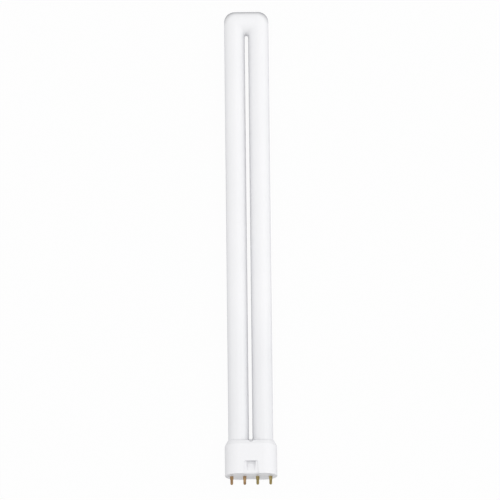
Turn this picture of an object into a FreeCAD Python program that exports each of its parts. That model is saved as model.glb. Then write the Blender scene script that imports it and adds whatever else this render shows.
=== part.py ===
import FreeCAD, Part
import math
import os

# A long twin tube compact fluorescent lamp with a four pin cap, in millimetres.
# +X runs along the row of pins, +Y along the lamp from the cap to the closed end of the glass,
# +Z out of its broad side. The origin is the centre of the face that seats in the lamp holder.
# The lamp lies on its broad side.

# Glass: two parallel legs joined by a square shouldered bend
TUBE_DIAMETER = 17.5
LEG_GAP = 3.0
GLASS_REACH = 411.0
BEND_THICKNESS = 20.9
BEND_CORNER_RADIUS = 9.0
BEND_FAN_STEPS = 36
OVAL_SPANS = 8
SEAL_LENGTH = 6.0
SEAL_WIDTH = 9.6
SEAL_THICKNESS = 3.2
SEAL_SECTIONS = 4
EXHAUST_TIP_DIAMETER = 2.8
EXHAUST_TIP_LENGTH = 3.5

# Cap: a thin walled moulding with its end arcs about the axes of the legs
CAP_FLOOR = 2.5
CAP_WALL = 1.6
WIRE_ROOM = 8.5
LEG_INSERTION = 14.0
NECK_LENGTH = 6.5
SHOULDER_HEIGHT = 5.0
SHOULDER_INSET = 2.55
SHOULDER_ROUNDING = 1.4
RIM_LAND = 0.45
TUBE_CLEARANCE = 0.15
FOOT_ROUNDING = 0.4
WEB_RISE = 1.2
WEB_DEPTH = 12.0
CEMENT_LENGTH = 6.0

# Latch recess in the middle of each broad side
RECESS_HEIGHT = 11.0
RECESS_FOOT_WIDTH = 13.2
RECESS_TOP_WIDTH = 11.4
RECESS_DEPTH = 1.0
RECESS_CORNER_RADIUS = 1.2
RECESS_LEAD_IN = 0.8
POCKET_WIDTH = 6.0
POCKET_DEPTH = 1.4
POCKET_FOOT = 2.0
POCKET_RAMP_LENGTH = 5.5
LATCH_WALL = 1.4

# Contact pins, and the wires that join them to the glass
PIN_PITCH = 11.0
PIN_PAIR_OFFSET = 0.75
PIN_DIAMETER = 2.35
PIN_LENGTH = 7.3
COLLAR_DIAMETER = 3.0
COLLAR_LENGTH = 2.4
COLLAR_TAPER = 0.7
PIN_HEAD_DIAMETER = 4.2
PIN_HEAD_THICKNESS = 1.0
PIN_BORE_END = 1.6
PIN_CLEARANCE = 0.05
WIRE_DIAMETER = 0.8
WIRE_CLEARANCE = 0.05
WIRE_SPREAD = 6.4
WIRE_STRAIGHT = 0.8

# Places that follow from the sizes above
TUBE_RADIUS = TUBE_DIAMETER / 2
LEG_X = (TUBE_DIAMETER + LEG_GAP) / 2
BORE_RADIUS = TUBE_RADIUS + TUBE_CLEARANCE
RIM_RADIUS = BORE_RADIUS + RIM_LAND
CAP_RADIUS = RIM_RADIUS + SHOULDER_INSET
CAVITY_RADIUS = CAP_RADIUS - CAP_WALL
SEAL_END_Y = CAP_FLOOR + WIRE_ROOM
LEG_END_Y = SEAL_END_Y + SEAL_LENGTH
CAP_TOP_Y = LEG_END_Y + LEG_INSERTION
SHOULDER_Y = CAP_TOP_Y - SHOULDER_HEIGHT
NECK_Y = CAP_TOP_Y - NECK_LENGTH
BEND_PIVOT_Y = GLASS_REACH - BEND_THICKNESS - LEG_GAP / 2
PIN_HEAD_Y = CAP_FLOOR + PIN_HEAD_THICKNESS
PIN_BORE_Y = PIN_BORE_END - PIN_LENGTH

ALONG_X = FreeCAD.Vector(1, 0, 0)
ALONG_Y = FreeCAD.Vector(0, 1, 0)
ALONG_Z = FreeCAD.Vector(0, 0, 1)


def point(x, y, z=0.0):
    return FreeCAD.Vector(x, y, z)


def oval(centre, half_width, half_depth, across):
    """The control points of an elliptical section, half_width along across and half_depth along Z."""
    poles = []
    for number in range(2 * OVAL_SPANS):
        angle = math.pi * number / OVAL_SPANS
        reach = 1 if number % 2 == 0 else 1 / math.cos(math.pi / OVAL_SPANS)
        sideways = across * (half_width * reach * math.cos(angle))
        upward = ALONG_Z * (half_depth * reach * math.sin(angle))
        poles.append(centre + sideways + upward)
    return poles + poles[:1]


def make_skin(sections, stations, **end_directions):
    """A smooth round face through oval sections at the stations given."""
    tracks = []
    for track in zip(*sections):
        curve = Part.BSplineCurve()
        curve.interpolate(Points=list(track), Parameters=stations, **end_directions)
        tracks.append(curve)
    lengthwise = tracks[0]
    weights = [1, math.cos(math.pi / OVAL_SPANS)] * OVAL_SPANS + [1]
    surface = Part.BSplineSurface()
    surface.buildFromPolesMultsKnots(
        [curve.getPoles() for curve in tracks],
        [3] + [2] * (OVAL_SPANS - 1) + [3],
        lengthwise.getMultiplicities(),
        list(range(OVAL_SPANS + 1)),
        lengthwise.getKnots(),
        False,
        False,
        2,
        lengthwise.Degree,
        [[weight] * lengthwise.NbPoles for weight in weights],
    )
    return surface.toShape()


def cylinder(x, y_from, y_to, radius):
    """A round bar along Y."""
    return Part.makeCylinder(radius, y_to - y_from, point(x, y_from), ALONG_Y)


def prism_along_x(width, profile):
    """A prism centred on x = 0 whose section has the (y, z) corners given."""
    corners = [point(-width / 2, y, z) for y, z in profile]
    return Part.Face(Part.makePolygon(corners + corners[:1])).extrude(ALONG_X * width)


def stadium(radius, y):
    """A closed outline across Y whose end arcs are centred on the two legs."""
    right_front = point(LEG_X, y, radius)
    right_back = point(LEG_X, y, -radius)
    left_front = point(-LEG_X, y, radius)
    left_back = point(-LEG_X, y, -radius)
    edges = [
        Part.Arc(right_back, point(LEG_X + radius, y), right_front).toShape(),
        Part.LineSegment(right_front, left_front).toShape(),
        Part.Arc(left_front, point(-LEG_X - radius, y), left_back).toShape(),
        Part.LineSegment(left_back, right_back).toShape(),
    ]
    return Part.Wire(edges)


def stadium_block(radius, y_from, y_to):
    return Part.Face(stadium(radius, y_from)).extrude(ALONG_Y * (y_to - y_from))


def bend_outline_reach(angle):
    """How far the outside of the bend lies from its pivot, in the direction of angle."""
    half_width = LEG_X + TUBE_RADIUS
    height = GLASS_REACH - BEND_PIVOT_Y
    corner = point(half_width - BEND_CORNER_RADIUS, height - BEND_CORNER_RADIUS)
    run = abs(math.cos(angle))
    rise = math.sin(angle)
    if rise * half_width <= corner.y * run:
        return half_width / run
    if run * height <= corner.x * rise:
        return height / rise
    along = run * corner.x + rise * corner.y
    return along + math.sqrt(along ** 2 - corner.x ** 2 - corner.y ** 2 + BEND_CORNER_RADIUS ** 2)


def make_bend():
    """The skin of the square shouldered bend, over ovals fanned about the end of the gap."""
    pivot = point(0, BEND_PIVOT_Y)
    inner = LEG_GAP / 2
    angles = [math.pi * step / BEND_FAN_STEPS for step in range(BEND_FAN_STEPS + 1)]
    sections = []
    for angle in angles:
        outward = point(math.cos(angle), math.sin(angle))
        outer = bend_outline_reach(angle)
        centre = pivot + outward * ((inner + outer) / 2)
        sections.append(oval(centre, (outer - inner) / 2, TUBE_RADIUS, outward))
    return make_skin(sections, angles, InitialTangent=ALONG_Y, FinalTangent=-ALONG_Y)


def make_leg(x):
    """The skin of a leg: its straight run, the flattened seal at its foot and the seal's flat end."""
    across = ALONG_X * math.copysign(1, x)
    top = oval(point(x, BEND_PIVOT_Y), TUBE_RADIUS, TUBE_RADIUS, across)
    shares = [number / (SEAL_SECTIONS - 1) for number in range(SEAL_SECTIONS)]
    sections = []
    for share in shares:
        half_width = TUBE_RADIUS - (TUBE_RADIUS - SEAL_WIDTH / 2) * share ** 2
        half_depth = TUBE_RADIUS - (TUBE_RADIUS - SEAL_THICKNESS / 2) * (1 - (1 - share) ** 2)
        centre = point(x, LEG_END_Y - SEAL_LENGTH * share)
        sections.append(oval(centre, half_width, half_depth, across))
    run = make_skin([sections[0], top], [0, 1])
    seal = make_skin(sections, shares)
    end = min(seal.Edges, key=lambda edge: edge.BoundBox.YMax)
    return [run, seal, Part.Face(Part.Wire([end]))]


def make_discharge_tube():
    """The whole glass as one sealed solid: the bend, both legs and the stubs they were filled through."""
    hull = Part.Compound([make_bend()] + make_leg(-LEG_X) + make_leg(LEG_X))
    hull.sewShape(1e-5)
    glass = Part.Solid(hull.Shells[0])
    tip_radius = EXHAUST_TIP_DIAMETER / 2
    tip_y = SEAL_END_Y - EXHAUST_TIP_LENGTH + tip_radius
    stubs = []
    for x in (-LEG_X, LEG_X):
        stubs.append(cylinder(x, tip_y, SEAL_END_Y + tip_radius, tip_radius))
        stubs.append(Part.makeSphere(tip_radius, point(x, tip_y)))
    return glass.fuse(stubs).Solids[0]


def edges_at(shape, y):
    """The edges of a shape that lie wholly in the plane at height y."""
    return [e for e in shape.Edges if abs(e.BoundBox.YMin - y) + abs(e.BoundBox.YMax - y) < 1e-3]


def make_recess(side):
    """What the latch recess takes out of one broad side; side is 1 for the front, -1 for the back."""
    face_z = CAP_RADIUS
    foot = RECESS_FOOT_WIDTH / 2
    top = RECESS_TOP_WIDTH / 2
    floor_z = face_z - RECESS_DEPTH
    outline = Part.makePolygon([
        point(-foot, 0, floor_z),
        point(foot, 0, floor_z),
        point(top, RECESS_HEIGHT, floor_z),
        point(-top, RECESS_HEIGHT, floor_z),
        point(-foot, 0, floor_z),
    ])
    panel = Part.Face(outline).extrude(ALONG_Z * 2 * RECESS_DEPTH)
    top_corners = [e for e in edges_at(panel, RECESS_HEIGHT) if e.BoundBox.ZLength > RECESS_DEPTH]
    panel = panel.makeFillet(RECESS_CORNER_RADIUS, top_corners)
    pocket_z = floor_z - POCKET_DEPTH
    pocket = prism_along_x(POCKET_WIDTH, [
        (POCKET_FOOT, floor_z),
        (POCKET_FOOT + POCKET_RAMP_LENGTH, pocket_z),
        (RECESS_HEIGHT, pocket_z),
        (RECESS_HEIGHT, face_z),
        (POCKET_FOOT, face_z),
    ])
    lead_in = prism_along_x(RECESS_FOOT_WIDTH, [
        (0, floor_z - RECESS_LEAD_IN),
        (RECESS_LEAD_IN, floor_z),
        (0, floor_z),
    ])
    cut = panel.fuse([pocket, lead_in])
    if side < 0:
        cut.rotate(point(0, 0), ALONG_Y, 180)
    return cut


def make_cavity():
    """The hollow of the cap, narrowed behind each latch recess to keep a wall there."""
    cavity = stadium_block(CAVITY_RADIUS, CAP_FLOOR, NECK_Y)
    boss_face_z = CAP_RADIUS - RECESS_DEPTH - POCKET_DEPTH - LATCH_WALL
    boss_width = POCKET_WIDTH + 2 * LATCH_WALL
    boss_height = RECESS_HEIGHT + LATCH_WALL - CAP_FLOOR
    for z in (boss_face_z, -CAP_RADIUS):
        corner = point(-boss_width / 2, CAP_FLOOR, z)
        cavity = cavity.cut(Part.makeBox(boss_width, boss_height, CAP_RADIUS - boss_face_z, corner))
    return cavity


def pin_places():
    """Where the pins stand along X: a pair about each leg, set a little outward."""
    pair_x = LEG_X + PIN_PAIR_OFFSET
    half = PIN_PITCH / 2
    return [-pair_x - half, -pair_x + half, pair_x - half, pair_x + half]


def make_cap_outside():
    """The cap with no hollow: an upright wall, then a taper up to the thin rim round the legs."""
    wall = stadium_block(CAP_RADIUS, 0, SHOULDER_Y)
    taper = prism_along_x(2 * LEG_X, [
        (SHOULDER_Y, -CAP_RADIUS),
        (SHOULDER_Y, CAP_RADIUS),
        (CAP_TOP_Y, RIM_RADIUS),
        (CAP_TOP_Y, -RIM_RADIUS),
    ])
    ends = []
    for x in (-LEG_X, LEG_X):
        ends.append(Part.makeCone(CAP_RADIUS, RIM_RADIUS, SHOULDER_HEIGHT, point(x, SHOULDER_Y), ALONG_Y))
    body = wall.fuse([taper] + ends).removeSplitter()
    body = body.makeFillet(SHOULDER_ROUNDING, edges_at(body, SHOULDER_Y))
    return body.makeFillet(FOOT_ROUNDING, edges_at(body, 0))


def make_cap_shell():
    web_corner = point(-LEG_X / 2, NECK_Y, -WEB_DEPTH / 2)
    web = Part.makeBox(LEG_X, NECK_LENGTH + WEB_RISE, WEB_DEPTH, web_corner)
    cuts = [make_cavity(), make_recess(1), make_recess(-1)]
    for x in (-LEG_X, LEG_X):
        cuts.append(cylinder(x, NECK_Y, CAP_TOP_Y + WEB_RISE, BORE_RADIUS))
    for x in pin_places():
        cuts.append(cylinder(x, 0, CAP_FLOOR, COLLAR_DIAMETER / 2 + PIN_CLEARANCE))
    return make_cap_outside().fuse(web).cut(cuts).removeSplitter().Solids[0]


def make_cement():
    """The cement that fills the top of the hollow round both legs."""
    block = stadium_block(CAVITY_RADIUS, NECK_Y - CEMENT_LENGTH, NECK_Y)
    legs = [cylinder(x, NECK_Y - CEMENT_LENGTH, NECK_Y, TUBE_RADIUS) for x in (-LEG_X, LEG_X)]
    return block.cut(legs).Solids[0]


def make_pin(x):
    """A hollow contact pin: a head inside the cap, a collar through its floor and a round tip."""
    radius = PIN_DIAMETER / 2
    collar = COLLAR_DIAMETER / 2
    head = PIN_HEAD_DIAMETER / 2
    bore = WIRE_DIAMETER / 2 + WIRE_CLEARANCE
    tip_start = radius - PIN_LENGTH
    across_tip = radius * math.cos(math.pi / 4)
    corners = [
        point(radius, tip_start),
        point(radius, -COLLAR_LENGTH - COLLAR_TAPER),
        point(collar, -COLLAR_LENGTH),
        point(collar, CAP_FLOOR),
        point(head, CAP_FLOOR),
        point(head, PIN_HEAD_Y),
        point(bore, PIN_HEAD_Y),
        point(bore, PIN_BORE_Y),
        point(0, PIN_BORE_Y),
        point(0, -PIN_LENGTH),
    ]
    edges = [Part.LineSegment(a, b).toShape() for a, b in zip(corners, corners[1:])]
    tip = Part.Arc(corners[-1], point(across_tip, tip_start - across_tip), corners[0])
    profile = Part.Face(Part.Wire(edges + [tip.toShape()]))
    pin = profile.revolve(point(0, 0), ALONG_Y, 360)
    pin.translate(point(x, 0))
    return pin


def make_wire(pin_x, seal_x):
    """A lead wire from the glass seal, round an even S bend and down into its pin."""
    top = point(seal_x, SEAL_END_Y)
    bend_top = point(seal_x, SEAL_END_Y - WIRE_STRAIGHT)
    bend_foot = point(pin_x, PIN_HEAD_Y + WIRE_STRAIGHT)
    foot = point(pin_x, PIN_BORE_Y)
    offset = bend_foot.x - bend_top.x
    height = bend_top.y - bend_foot.y
    turn = 2 * math.atan2(abs(offset), height)
    middle = (bend_top + bend_foot) * 0.5
    edges = [Part.LineSegment(top, bend_top).toShape()]
    if turn > 1e-3:
        radius = height / (2 * math.sin(turn))
        outward = math.copysign(radius * (1 - math.cos(turn / 2)), offset)
        drop = radius * math.sin(turn / 2)
        upper = point(bend_top.x + outward, bend_top.y - drop)
        lower = point(bend_foot.x - outward, bend_foot.y + drop)
        edges.append(Part.Arc(bend_top, upper, middle).toShape())
        edges.append(Part.Arc(middle, lower, bend_foot).toShape())
    else:
        edges.append(Part.LineSegment(bend_top, bend_foot).toShape())
    edges.append(Part.LineSegment(bend_foot, foot).toShape())
    section = Part.Wire([Part.Circle(top, -ALONG_Y, WIRE_DIAMETER / 2).toShape()])
    return Part.Wire(edges).makePipeShell([section], True, True)


def export(shape, node):
    shape.exportStep("parts/" + node + ".step")


def main():
    os.makedirs("parts", exist_ok=True)
    export(make_discharge_tube(), "discharge_tube")
    export(make_cap_shell(), "cap_shell")
    export(make_cement(), "basing_cement")
    for number, pin_x in enumerate(pin_places(), 1):
        leg_x = math.copysign(LEG_X, pin_x)
        seal_x = leg_x + math.copysign(WIRE_SPREAD / 2, pin_x - leg_x)
        export(make_pin(pin_x), "contact_pin_" + str(number))
        export(make_wire(pin_x, seal_x), "lead_wire_" + str(number))


main()
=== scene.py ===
import math

import bmesh
import bpy
from mathutils import Matrix, Vector


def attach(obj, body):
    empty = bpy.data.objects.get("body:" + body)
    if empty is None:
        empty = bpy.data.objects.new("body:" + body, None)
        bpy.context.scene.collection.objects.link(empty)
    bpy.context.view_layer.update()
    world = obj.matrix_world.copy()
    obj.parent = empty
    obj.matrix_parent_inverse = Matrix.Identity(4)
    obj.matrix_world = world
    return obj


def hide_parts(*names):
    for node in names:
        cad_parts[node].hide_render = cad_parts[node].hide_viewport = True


# A four pin twin tube lamp, in metres: +X along the row of pins, +Y along the lamp to the closed
# end of the glass, +Z up out of its broad side. The lamp lies on its other broad side.

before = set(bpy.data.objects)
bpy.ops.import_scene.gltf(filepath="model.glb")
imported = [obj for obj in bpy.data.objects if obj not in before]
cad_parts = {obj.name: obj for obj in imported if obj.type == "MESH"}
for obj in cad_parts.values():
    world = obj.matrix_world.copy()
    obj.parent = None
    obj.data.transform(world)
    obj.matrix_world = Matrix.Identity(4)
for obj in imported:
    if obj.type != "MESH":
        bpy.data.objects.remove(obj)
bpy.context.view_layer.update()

MM = 0.001


# Nodes written as sums

class Value:
    """An output of a node that takes part in Python sums."""

    def __init__(self, graph, socket):
        self.graph = graph
        self.socket = socket

    def __add__(self, other):
        return self.graph.math("ADD", self, other)

    def __radd__(self, other):
        return self.graph.math("ADD", other, self)

    def __sub__(self, other):
        return self.graph.math("SUBTRACT", self, other)

    def __rsub__(self, other):
        return self.graph.math("SUBTRACT", other, self)

    def __mul__(self, other):
        return self.graph.math("MULTIPLY", self, other)

    def __rmul__(self, other):
        return self.graph.math("MULTIPLY", other, self)

    def __truediv__(self, other):
        return self.graph.math("DIVIDE", self, other)

    def __rtruediv__(self, other):
        return self.graph.math("DIVIDE", other, self)

    def __pow__(self, other):
        return self.graph.math("POWER", self, other)

    def __neg__(self):
        return self.graph.math("MULTIPLY", self, -1.0)

    def __gt__(self, other):
        return self.graph.math("GREATER_THAN", self, other)

    def between(self, low, high):
        """0 at low and under, 1 at high and over, and even in between."""
        return self.graph.math("MULTIPLY", (self - low) / (high - low), 1.0, clamp=True)

    def sine(self):
        return self.graph.math("SINE", self)

    def cosine(self):
        return self.graph.math("COSINE", self)

    def root(self):
        return self.graph.math("SQRT", self)

    def size(self):
        return self.graph.math("ABSOLUTE", self)

    def sign(self):
        return self.graph.math("SIGN", self)

    def at_least(self, other):
        return self.graph.math("MAXIMUM", self, other)


class Graph:
    """A node tree, with one method that adds any node."""

    def __init__(self, tree):
        self.tree = tree

    def add(self, kind, settings=None, inputs=None):
        """Adds a node of a type, with its settings set first and then its inputs by name or number."""
        node = self.tree.nodes.new(kind)
        for name, setting in (settings or {}).items():
            setattr(node, name, setting)
        for name, value in (inputs or {}).items():
            self.feed(node.inputs[name], value)
        return node

    def feed(self, socket, value):
        if isinstance(value, Value):
            self.tree.links.new(value.socket, socket)
        elif isinstance(value, bpy.types.NodeSocket):
            self.tree.links.new(value, socket)
        else:
            socket.default_value = value

    def value(self, kind, settings=None, inputs=None, output=0):
        """Adds a node and gives one of its outputs."""
        return Value(self, self.add(kind, settings, inputs).outputs[output])

    def math(self, operation, *values, clamp=False):
        settings = {"operation": operation, "use_clamp": clamp}
        return self.value("ShaderNodeMath", settings, dict(enumerate(values)))

    def vector(self, x, y, z):
        return self.value("ShaderNodeCombineXYZ", None, {"X": x, "Y": y, "Z": z})

    def parts(self, vector):
        """The three numbers of a vector."""
        node = self.add("ShaderNodeSeparateXYZ", None, {0: vector})
        return [Value(self, output) for output in node.outputs]

    def blend(self, factor, first, second):
        """A colour between two colours."""
        return self.value(
            "ShaderNodeMix",
            {"data_type": "RGBA"},
            {"Factor": factor, 6: first, 7: second},
            output=2,
        )


# Shapes that follow a rule, made by node trees

def shape_tree(name, sizes):
    """A geometry tree with named size inputs; gives its graph and those inputs as values."""
    tree = bpy.data.node_groups.new(name, "GeometryNodeTree")
    tree.interface.new_socket("Geometry", in_out="INPUT", socket_type="NodeSocketGeometry")
    tree.interface.new_socket("Geometry", in_out="OUTPUT", socket_type="NodeSocketGeometry")
    for size in sizes:
        tree.interface.new_socket(size, in_out="INPUT", socket_type="NodeSocketFloat")
    graph = Graph(tree)
    entry = tree.nodes.new("NodeGroupInput")
    return graph, {size: Value(graph, entry.outputs[size]) for size in sizes}


def finish_tree(graph, geometry, material):
    """Ends a tree: instances made real, shaded smooth, and given their material."""
    real = graph.value("GeometryNodeRealizeInstances", None, {"Geometry": geometry})
    smooth = graph.value("GeometryNodeSetShadeSmooth", None, {"Geometry": real})
    painted = graph.value(
        "GeometryNodeSetMaterial", None, {"Geometry": smooth, "Material": material}
    )
    end = graph.tree.nodes.new("NodeGroupOutput")
    graph.feed(end.inputs["Geometry"], painted)


def grown(name, graph, sizes):
    """A plain mesh object made by a tree with its sizes set."""
    seed = bpy.data.objects.new(name + "_seed", bpy.data.meshes.new(name + "_seed"))
    bpy.context.scene.collection.objects.link(seed)
    modifier = seed.modifiers.new("shape", "NODES")
    modifier.node_group = graph.tree
    for item in graph.tree.interface.items_tree:
        if item.in_out == "INPUT" and item.name in sizes:
            modifier[item.identifier] = float(sizes[item.name])
    bpy.context.view_layer.update()
    seen = seed.evaluated_get(bpy.context.evaluated_depsgraph_get())
    mesh = bpy.data.meshes.new_from_object(seen)
    mesh.name = name
    bpy.data.objects.remove(seed)
    piece = bpy.data.objects.new(name, mesh)
    bpy.context.scene.collection.objects.link(piece)
    return piece


def follow(row, stops):
    """A number that runs evenly from each stop to the next as row goes 0, 1, 2 and so on."""
    total = stops[0]
    for number, (start, end) in enumerate(zip(stops, stops[1:])):
        total = total + (end - start) * row.between(float(number), float(number + 1))
    return total


def swept_grid(graph, rows, around):
    """A sheet of rows by around faces, with its row number and its turn in radians."""
    sheet = graph.add(
        "GeometryNodeMeshGrid",
        None,
        {"Size X": 1.0, "Size Y": 1.0, "Vertices X": rows + 1, "Vertices Y": around + 1},
    )
    place = graph.value("GeometryNodeInputPosition")
    along, across, _ = graph.parts(place)
    return sheet.outputs["Mesh"], (along + 0.5) * rows, (across + 0.5) * math.tau


def closed_skin(graph, sheet, position, gap=1e-6):
    """A sheet laid on its positions, with its seam and poles closed and its faces outwards."""
    laid = graph.value("GeometryNodeSetPosition", None, {"Geometry": sheet, "Position": position})
    closed = graph.value("GeometryNodeMergeByDistance", None, {"Geometry": laid, "Distance": gap})
    return graph.value("GeometryNodeFlipFaces", None, {"Mesh": closed})


def discharge_tube_tree(material):
    """Two legs joined by a square shouldered bend, whose ovals fan about the end of the gap."""
    names = (
        "Tube Radius", "Half Gap", "Bend Pivot", "Bend Height", "Bend Corner", "Leg End",
        "Seal Length", "Seal Half Width", "Seal Half Depth",
        "Fan Rows", "Leg Rows", "Seal Rows", "Faces Around",
    )
    graph, size = shape_tree("discharge_tube", names)
    radius = size["Tube Radius"]
    fan_rows = size["Fan Rows"]
    leg_rows = size["Leg Rows"]
    seal_rows = size["Seal Rows"]
    half_rows = fan_rows + leg_rows + seal_rows + 1.0
    sheet, row, turn = swept_grid(graph, half_rows * 2.0, size["Faces Around"])
    from_middle = row - half_rows
    side = from_middle.sign()
    step = from_middle.size()

    fan = (1.0 - step.between(0.0, fan_rows)) * (math.pi / 2)
    down = step.between(fan_rows, fan_rows + leg_rows)
    seal = step.between(fan_rows + leg_rows, fan_rows + leg_rows + seal_rows)
    closing = 1.0 - step.between(half_rows - 1.0, half_rows)

    nearly_none = 1e-4
    run = fan.cosine().at_least(nearly_none)
    rise = fan.sine().at_least(nearly_none)
    half_width = radius * 2.0 + size["Half Gap"]
    height = size["Bend Height"]
    corner_x = half_width - size["Bend Corner"]
    corner_y = height - size["Bend Corner"]
    near = run * corner_x + rise * corner_y
    spread = corner_x * corner_x + corner_y * corner_y - size["Bend Corner"] ** 2.0
    round_reach = near + (near * near - spread).at_least(0.0).root()
    on_side = 1.0 - (rise * half_width > corner_y * run)
    on_top = 1.0 - (run * height > corner_x * rise)
    on_corner = 1.0 - on_side - on_top
    outer = half_width / run * on_side + height / rise * on_top + round_reach * on_corner

    inner = size["Half Gap"]
    wide = (outer - inner) / 2.0 - (radius - size["Seal Half Width"]) * seal * seal
    thin = (1.0 - seal) * (1.0 - seal)
    deep = radius - (radius - size["Seal Half Depth"]) * (1.0 - thin)
    reach = (outer + inner) / 2.0 + wide * closing * turn.cosine()
    drop = (size["Bend Pivot"] - size["Leg End"]) * down + size["Seal Length"] * seal
    position = graph.vector(
        side * fan.cosine() * reach,
        size["Bend Pivot"] - drop + fan.sine() * reach,
        deep * closing * turn.sine(),
    )
    finish_tree(graph, closed_skin(graph, sheet, position), material)
    return graph


def contact_pins_tree(material):
    """A row of round pins: head, collar, taper, shank and a domed tip, hollow for the wire."""
    names = (
        "Pin Radius", "Pin Length", "Collar Radius", "Collar Length", "Taper", "Head Radius",
        "Head Thickness", "Floor Thickness", "Bore Radius", "Bore End", "Edge",
        "Pin Pitch", "Pin Count", "Dome Rows", "Faces Around",
    )
    graph, size = shape_tree("contact_pins", names)
    radius = size["Pin Radius"]
    collar = size["Collar Radius"]
    head = size["Head Radius"]
    bore = size["Bore Radius"]
    edge = size["Edge"]
    floor = size["Floor Thickness"]
    top = floor + size["Head Thickness"]
    tip_start = radius - size["Pin Length"]
    zero = radius * 0.0
    outline = [
        (zero, size["Bore End"]),
        (bore, size["Bore End"]),
        (bore, top),
        (head - edge, top),
        (head, top - edge),
        (head, floor),
        (collar, floor),
        (collar, edge - size["Collar Length"]),
        (collar - edge, zero - size["Collar Length"]),
        (radius + edge, zero - size["Collar Length"] - size["Taper"]),
        (radius, zero - size["Collar Length"] - size["Taper"] - edge),
        (radius, tip_start),
    ]
    before = len(outline) - 1
    sheet, row, turn = swept_grid(graph, size["Dome Rows"] + float(before), size["Faces Around"])
    dome = row.between(float(before), size["Dome Rows"] + float(before)) * (math.pi / 2)
    reach = follow(row, [r for r, _ in outline]) - radius * (1.0 - dome.cosine())
    along = follow(row, [y for _, y in outline]) - radius * dome.sine()
    position = graph.vector(reach * turn.cosine(), along, reach * turn.sine())
    pin = closed_skin(graph, sheet, position, gap=1e-7)
    half_row = size["Pin Pitch"] * (size["Pin Count"] - 1.0) / 2.0
    line = graph.value(
        "GeometryNodeMeshLine",
        None,
        {
            "Count": size["Pin Count"],
            "Start Location": graph.vector(-half_row, 0.0, 0.0),
            "Offset": graph.vector(size["Pin Pitch"], 0.0, 0.0),
        },
    )
    pins = graph.value("GeometryNodeInstanceOnPoints", None, {"Points": line, "Instance": pin})
    finish_tree(graph, pins, material)
    return graph


# Shapes cut from the solids

def solid(name, points, faces):
    """An object made of points and the faces between them, all turned outwards."""
    shape = bmesh.new()
    corners = [shape.verts.new(point) for point in points]
    for face in faces:
        shape.faces.new([corners[number] for number in face])
    bmesh.ops.recalc_face_normals(shape, faces=shape.faces)
    mesh = bpy.data.meshes.new(name)
    shape.to_mesh(mesh)
    shape.free()
    piece = bpy.data.objects.new(name, mesh)
    bpy.context.scene.collection.objects.link(piece)
    return piece


def joined_copy(name, node):
    """A copy of a CAD node with its loose triangles joined into closed skins."""
    shape = bmesh.new()
    shape.from_mesh(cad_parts[node].data)
    bmesh.ops.remove_doubles(shape, verts=shape.verts, dist=1e-7)
    shape.verts.index_update()
    points = [vertex.co.copy() for vertex in shape.verts]
    faces = [[vertex.index for vertex in face.verts] for face in shape.faces]
    shape.free()
    return solid(name, points, faces)


def cutters(name, first, last):
    """A solid between two like outlines, and its twin on the lamp's other broad side."""
    around = len(first)
    points = []
    faces = []
    for side in (1.0, -1.0):
        base = len(points)
        points += [(side * x * MM, y * MM, side * z * MM) for x, y, z in first + last]
        ring = [base + number for number in range(around)]
        faces.append(ring)
        faces.append([number + around for number in ring])
        for start, end in zip(ring, ring[1:] + ring[:1]):
            faces.append([start, end, end + around, start + around])
    return solid(name, points, faces)


def across(outline, half_width):
    """An outline of (y, z) placed at both ends of a width along X."""
    return [[(x, y, z) for y, z in outline] for x in (-half_width, half_width)]


def upward(outline, low, high):
    """An outline of (x, y) placed at two heights along Z."""
    return [[(x, y, z) for x, y in outline] for z in (low, high)]


def applied(piece):
    """Turns a piece's modifiers into its own mesh."""
    bpy.context.view_layer.update()
    seen = piece.evaluated_get(bpy.context.evaluated_depsgraph_get())
    mesh = bpy.data.meshes.new_from_object(seen)
    mesh.name = piece.name
    piece.modifiers.clear()
    piece.data = mesh


def carve(piece, tools):
    """Cuts each tool out of a piece and takes the tools away."""
    for tool in tools:
        cut = piece.modifiers.new(tool.name, "BOOLEAN")
        cut.operation = "DIFFERENCE"
        cut.solver = "EXACT"
        cut.object = tool
    applied(piece)
    for tool in tools:
        bpy.data.objects.remove(tool)


def crisp(piece, angle=30.0):
    """Smooth shading that keeps flats flat and leaves edges over an angle sharp."""
    piece.data.shade_smooth()
    piece.data.set_sharp_from_angle(angle=math.radians(angle))
    weigh = piece.modifiers.new("flats", "WEIGHTED_NORMAL")
    weigh.keep_sharp = True
    applied(piece)


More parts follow.
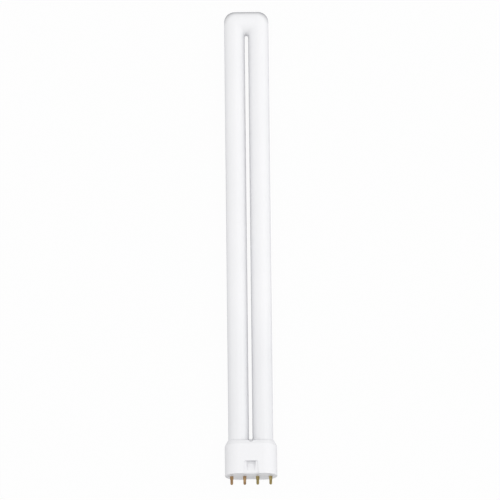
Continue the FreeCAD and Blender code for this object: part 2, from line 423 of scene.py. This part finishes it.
def make_cap(finish):
    """The cap with the forms of its mould: dished lips, a dip between the legs, a drafted latch pocket."""
    clear_y = 34.0
    clear_z = 13.5
    half_cap = 23.0
    overlap = 0.01

    rim_y = 30.98
    lip_y = 29.18
    lip_z = 10.3
    level_z = 2.0
    dish_steps = 12
    dish = []
    for step in range(dish_steps + 1):
        z = level_z + (clear_z - level_z) * step / dish_steps
        sag = ((z - level_z) / (lip_z - level_z)) ** 2
        dish.append((rim_y - (rim_y - lip_y) * sag, z))
    dish += [(clear_y, clear_z), (clear_y, level_z)]

    dip_radius = 1.6
    dip_centre_y = 29.2
    dip_floor_z = 7.0
    dip_faces = 32
    turns = [math.tau * step / dip_faces for step in range(dip_faces)]
    dip = [(dip_radius * math.cos(turn), dip_centre_y + dip_radius * math.sin(turn)) for turn in turns]

    well_foot = 27.0
    well_floor_z = 1.9
    well_top_z = 7.9
    well = [
        (-dip_radius, well_foot),
        (dip_radius, well_foot),
        (dip_radius, clear_y),
        (-dip_radius, clear_y),
    ]

    floor_z = 10.9
    pocket_z = 8.7
    pocket_foot = 2.0
    ramp_end = 7.5
    recess_top = 10.98
    half_pocket = 3.02
    draft = 0.4

    def channel(y, z):
        """The pocket's drafted section at height y, with its floor at z."""
        wide = half_pocket + draft * (clear_z - z)
        return [(-half_pocket, y, z), (half_pocket, y, z), (wide, y, clear_z), (-wide, y, clear_z)]

    half_catch = 2.9
    catch_floor_z = 8.35
    catch_top_z = 10.2
    catch_foot = 9.0
    catch = [
        (catch_foot, catch_floor_z),
        (recess_top, catch_floor_z),
        (recess_top, catch_top_z),
        (catch_foot, catch_top_z),
    ]

    cap = joined_copy("cap_moulding", "cap_shell")
    carve(cap, [
        cutters("dish", *across(dish, half_cap)),
        cutters("well", *upward(well, well_floor_z, well_top_z)),
        cutters("dip", *upward(dip, dip_floor_z, clear_z)),
        cutters("ramp", channel(pocket_foot, floor_z), channel(ramp_end, pocket_z)),
        cutters("pocket", channel(ramp_end - overlap, pocket_z), channel(recess_top, pocket_z)),
        cutters("catch", *across(catch, half_catch)),
    ])
    cap.data.materials.clear()
    cap.data.materials.append(finish)
    crisp(cap)
    return cap


# Finishes

def new_material(name):
    """A material with its graph and its principled shader."""
    material = bpy.data.materials.new(name)
    material.use_nodes = True
    tree = material.node_tree
    tree.nodes.clear()
    graph = Graph(tree)
    shader = graph.add("ShaderNodeBsdfPrincipled")
    end = graph.add("ShaderNodeOutputMaterial")
    tree.links.new(shader.outputs["BSDF"], end.inputs["Surface"])
    return material, graph, shader


def object_place(graph):
    return graph.value("ShaderNodeTexCoord", None, None, output=3)


def grain(graph, place, scale, detail=3.0, stretch=(1.0, 1.0, 1.0)):
    """Soft noise from 0 to 1 over the object, stretched along an axis where asked."""
    mapped = graph.value("ShaderNodeMapping", None, {"Vector": place, "Scale": stretch})
    return graph.value(
        "ShaderNodeTexNoise", None, {"Vector": mapped, "Scale": scale, "Detail": detail}
    )


def relief(graph, shader, height, distance, strength=1.0):
    """A bump that feeds the shader's normal."""
    bump = graph.add(
        "ShaderNodeBump", None, {"Height": height, "Distance": distance, "Strength": strength}
    )
    graph.tree.links.new(bump.outputs["Normal"], shader.inputs["Normal"])


def coated_glass():
    """Clear glass over a white powder coat, greyer by the electrodes, with painted shade along the bend's
    outer end.
    """
    material, graph, shader = new_material("coated_glass")
    place = object_place(graph)
    _, y, z = graph.parts(place)
    white_coat = (0.965, 0.961, 0.967, 1.0)
    grey_coat = (0.875, 0.876, 0.887, 1.0)
    painted_end_shade = (0.400, 0.400, 0.408, 1.0)
    streak = grain(graph, place, 420.0, 2.0, (1.0, 0.012, 1.0))
    cloud = grain(graph, place, 26.0, 3.0)
    powder = grain(graph, place, 1900.0, 2.0)
    by_electrode = 1.0 - y.between(0.100, 0.150)
    grey = by_electrode * 0.45 + (streak - 0.5) * (0.25 + by_electrode * 0.9) + (cloud - 0.5) * 0.3
    coat = graph.blend(graph.math("ADD", grey, 0.1, clamp=True), white_coat, grey_coat)
    # Painted shade: a dark grey band over the bend's outer end at mid depth, standing in for the shade
    # along the bend's top edge.
    near_top = y.between(0.399, 0.4085)
    near_middle = 1.0 - z.size().between(0.0035, 0.0072)
    graph.feed(shader.inputs["Base Color"], graph.blend(near_top * near_middle, coat, painted_end_shade))
    graph.feed(shader.inputs["Roughness"], 0.34 + powder * 0.08)
    graph.feed(shader.inputs["Coat Weight"], 0.85 + cloud * 0.15)
    shader.inputs["Coat Roughness"].default_value = 0.06
    shader.inputs["Coat IOR"].default_value = 1.01
    shader.inputs["Coat Tint"].default_value = (0.930, 0.933, 0.939, 1.0)
    relief(graph, shader, streak * 0.6 + cloud * 0.4, 0.00004)
    return material


def cap_plastic():
    """Moulded white plastic: satin, with a fine spark texture and a faint flow."""
    material, graph, shader = new_material("cap_plastic")
    place = object_place(graph)
    bright = (0.967, 0.963, 0.972, 1.0)
    shaded = (0.942, 0.939, 0.952, 1.0)
    spark = grain(graph, place, 3200.0, 2.0)
    flow = grain(graph, place, 60.0, 3.0, (1.0, 0.35, 1.0))
    graph.feed(shader.inputs["Base Color"], graph.blend(flow, bright, shaded))
    shader.inputs["Coat Weight"].default_value = 1.0
    shader.inputs["Coat Roughness"].default_value = 0.3
    shader.inputs["Coat IOR"].default_value = 1.04
    shader.inputs["Coat Tint"].default_value = (0.92, 0.922, 0.926, 1.0)
    graph.feed(shader.inputs["Roughness"], 0.36 + flow * 0.08 + spark * 0.06)
    relief(graph, shader, spark, 0.00002, 0.6)
    return material


def pin_brass():
    """Drawn brass with fine rings and darker stains, browner on the left pair and olive on the right."""
    material, graph, shader = new_material("pin_brass")
    place = object_place(graph)
    x, _, _ = graph.parts(place)
    brown_clean = (0.43, 0.28, 0.145, 1.0)
    brown_dull = (0.20, 0.115, 0.06, 1.0)
    olive_clean = (0.43, 0.34, 0.15, 1.0)
    olive_dull = (0.20, 0.155, 0.06, 1.0)
    ring = grain(graph, place, 2600.0, 2.0, (0.05, 1.0, 0.05))
    stain = grain(graph, place, 480.0, 4.0)
    right_pair = x.between(-0.004, 0.004)
    clean = graph.blend(right_pair, brown_clean, olive_clean)
    dull = graph.blend(right_pair, brown_dull, olive_dull)
    graph.feed(shader.inputs["Base Color"], graph.blend(stain.between(0.35, 0.7), clean, dull))
    shader.inputs["Metallic"].default_value = 1.0
    graph.feed(shader.inputs["Roughness"], 0.24 + stain * 0.16 + ring * 0.06)
    relief(graph, shader, ring, 0.00002, 0.5)
    return material


def cement():
    """Pale cast cement, matte, with fine pores."""
    material, graph, shader = new_material("cement")
    place = object_place(graph)
    pale = (0.80, 0.79, 0.76, 1.0)
    deep = (0.66, 0.65, 0.61, 1.0)
    pores = grain(graph, place, 900.0, 5.0)
    graph.feed(shader.inputs["Base Color"], graph.blend(pores, pale, deep))
    graph.feed(shader.inputs["Roughness"], 0.82 + pores * 0.12)
    relief(graph, shader, pores, 0.00012)
    return material


def lead_metal():
    """Plated wire, dull, with marks drawn along it."""
    material, graph, shader = new_material("lead_metal")
    place = object_place(graph)
    bright = (0.70, 0.68, 0.64, 1.0)
    dull = (0.52, 0.50, 0.47, 1.0)
    drawn = grain(graph, place, 1500.0, 3.0, (1.0, 0.08, 1.0))
    graph.feed(shader.inputs["Base Color"], graph.blend(drawn, bright, dull))
    shader.inputs["Metallic"].default_value = 1.0
    graph.feed(shader.inputs["Roughness"], 0.34 + drawn * 0.16)
    relief(graph, shader, drawn, 0.00001, 0.5)
    return material


def dress_node(node, material):
    """Gives a CAD node its finish on its own slots."""
    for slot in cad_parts[node].material_slots:
        slot.link = "OBJECT"
        slot.material = material


# Pieces

glass_finish = coated_glass()
plastic_finish = cap_plastic()
brass_finish = pin_brass()
cement_finish = cement()
wire_finish = lead_metal()

tube_sizes = {
    "Tube Radius": 8.75 * MM,
    "Half Gap": 1.5 * MM,
    "Bend Pivot": 388.6 * MM,
    "Bend Height": 22.4 * MM,
    "Bend Corner": 9.0 * MM,
    "Leg End": 17.0 * MM,
    "Seal Length": 6.0 * MM,
    "Seal Half Width": 4.8 * MM,
    "Seal Half Depth": 1.6 * MM,
    "Fan Rows": 36,
    "Leg Rows": 24,
    "Seal Rows": 8,
    "Faces Around": 72,
}
tube = grown("discharge_tube_skin", discharge_tube_tree(glass_finish), tube_sizes)
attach(tube, "root")
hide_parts("discharge_tube")

pin_sizes = {
    "Pin Radius": 1.175 * MM,
    "Pin Length": 7.3 * MM,
    "Collar Radius": 1.5 * MM,
    "Collar Length": 2.4 * MM,
    "Taper": 0.7 * MM,
    "Head Radius": 2.1 * MM,
    "Head Thickness": 1.0 * MM,
    "Floor Thickness": 2.5 * MM,
    "Bore Radius": 0.45 * MM,
    "Bore End": -5.7 * MM,
    "Edge": 0.12 * MM,
    "Pin Pitch": 11.0 * MM,
    "Pin Count": 4,
    "Dome Rows": 10,
    "Faces Around": 40,
}
pins = grown("contact_pins", contact_pins_tree(brass_finish), pin_sizes)
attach(pins, "root")
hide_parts("contact_pin_1", "contact_pin_2", "contact_pin_3", "contact_pin_4")

cap = make_cap(plastic_finish)
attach(cap, "root")
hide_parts("cap_shell")

dress_node("basing_cement", cement_finish)
for number in range(1, pin_sizes["Pin Count"] + 1):
    dress_node("lead_wire_" + str(number), wire_finish)


# Floor, light and camera

FLOOR_LEVEL = -11.9 * MM


def seen_directly(graph):
    """1 for what the camera sees, straight on or in gloss and clear glass."""
    path = graph.add("ShaderNodeLightPath")
    rays = ("Is Camera Ray", "Is Glossy Ray", "Is Transmission Ray")
    camera, glossy, through = [Value(graph, path.outputs[ray]) for ray in rays]
    return camera.at_least(glossy).at_least(through)


def make_floor():
    """A large pale floor that reads near white and keeps a faint shadow."""
    half = 6.0
    share_of_white = 0.955
    corners = [(-half, -half), (half, -half), (half, half), (-half, half)]
    mesh = bpy.data.meshes.new("floor")
    mesh.from_pydata([(x, y, FLOOR_LEVEL) for x, y in corners], [], [(0, 1, 2, 3)])
    floor = bpy.data.objects.new("floor", mesh)
    bpy.context.scene.collection.objects.link(floor)
    material, graph, shader = new_material("floor_white")
    shader.inputs["Base Color"].default_value = (0.72, 0.72, 0.72, 1.0)
    shader.inputs["Roughness"].default_value = 0.9
    shader.inputs["Specular IOR Level"].default_value = 0.0
    glow = graph.add("ShaderNodeEmission", None, {"Strength": 1.0})
    glow.inputs["Color"].default_value = (1.0, 1.0, 1.0, 1.0)
    mix = graph.add("ShaderNodeMixShader", None, {
        0: seen_directly(graph) * share_of_white,
        1: shader.outputs["BSDF"],
        2: glow.outputs["Emission"],
    })
    end = graph.tree.nodes["Material Output"]
    graph.tree.links.new(mix.outputs["Shader"], end.inputs["Surface"])
    mesh.materials.append(material)


def make_world():
    """White to the camera; to the lamp, a pale sky, low down dark at its ends and bright at its sides."""
    world = bpy.data.worlds.new("studio")
    bpy.context.scene.world = world
    world.use_nodes = True
    world.node_tree.nodes.clear()
    graph = Graph(world.node_tree)
    x, y, z = graph.parts(graph.value("ShaderNodeTexCoord", None, None, output=0))
    band_top = 0.50
    high = z.between(0.0, band_top) ** 2.0
    low_sky = x * x * 1.5 + x * 0.35 + 0.08 - y * 0.08
    sky = (low_sky + (1.0 - low_sky) * high) * (1.06 + y * 0.10)
    strength = sky + (1.0 - sky) * seen_directly(graph)
    sky_light = graph.add("ShaderNodeBackground", None, {"Strength": strength})
    sky_light.inputs["Color"].default_value = (0.982, 0.982, 0.984, 1.0)
    end = graph.add("ShaderNodeOutputWorld")
    graph.tree.links.new(sky_light.outputs["Background"], end.inputs["Surface"])


def area_light(name, place, aim, size, power):
    """A round soft light at a place, turned to what it aims at."""
    light = bpy.data.lights.new(name, "AREA")
    light.shape = "DISK"
    light.size = size
    light.energy = power
    lamp = bpy.data.objects.new(name, light)
    lamp.location = place
    lamp.rotation_euler = (Vector(aim) - Vector(place)).to_track_quat("-Z", "Y").to_euler()
    bpy.context.scene.collection.objects.link(lamp)


def make_camera():
    """The photograph's view: nearly square on, tipped to show the pins, and rolled a little."""
    tip = math.radians(74.5)
    roll = math.radians(0.635)
    distance = 6.9
    picture = 500
    middle = picture / 2
    per_pixel = 0.4234 / picture
    sensor = 36
    back = Vector((0, -math.cos(tip), math.sin(tip)))
    level_up = Vector((0, math.sin(tip), math.cos(tip)))
    level_right = Vector((1, 0, 0))
    up = level_up * math.cos(roll) + level_right * math.sin(roll)
    right = level_right * math.cos(roll) - level_up * math.sin(roll)
    face_x, face_y = 251.2, 476.4
    aim = up * ((face_y - middle) * per_pixel) - right * ((face_x - middle) * per_pixel)
    camera_data = bpy.data.cameras.new("camera")
    camera_data.sensor_width = sensor
    camera_data.lens = sensor * distance / (per_pixel * picture)
    camera_data.clip_start = 0.5
    camera_data.clip_end = 30
    camera = bpy.data.objects.new("camera", camera_data)
    turn = Matrix((right, up, back)).transposed().to_4x4()
    camera.matrix_world = Matrix.Translation(aim + back * distance) @ turn
    bpy.context.scene.collection.objects.link(camera)
    bpy.context.scene.camera = camera


make_floor()
make_world()
area_light("key", place=(1.1, -0.1, 1.5), aim=(0.0, 0.2, 0.0), size=0.9, power=1.2)
make_camera()
bpy.context.scene.view_settings.view_transform = "Standard"
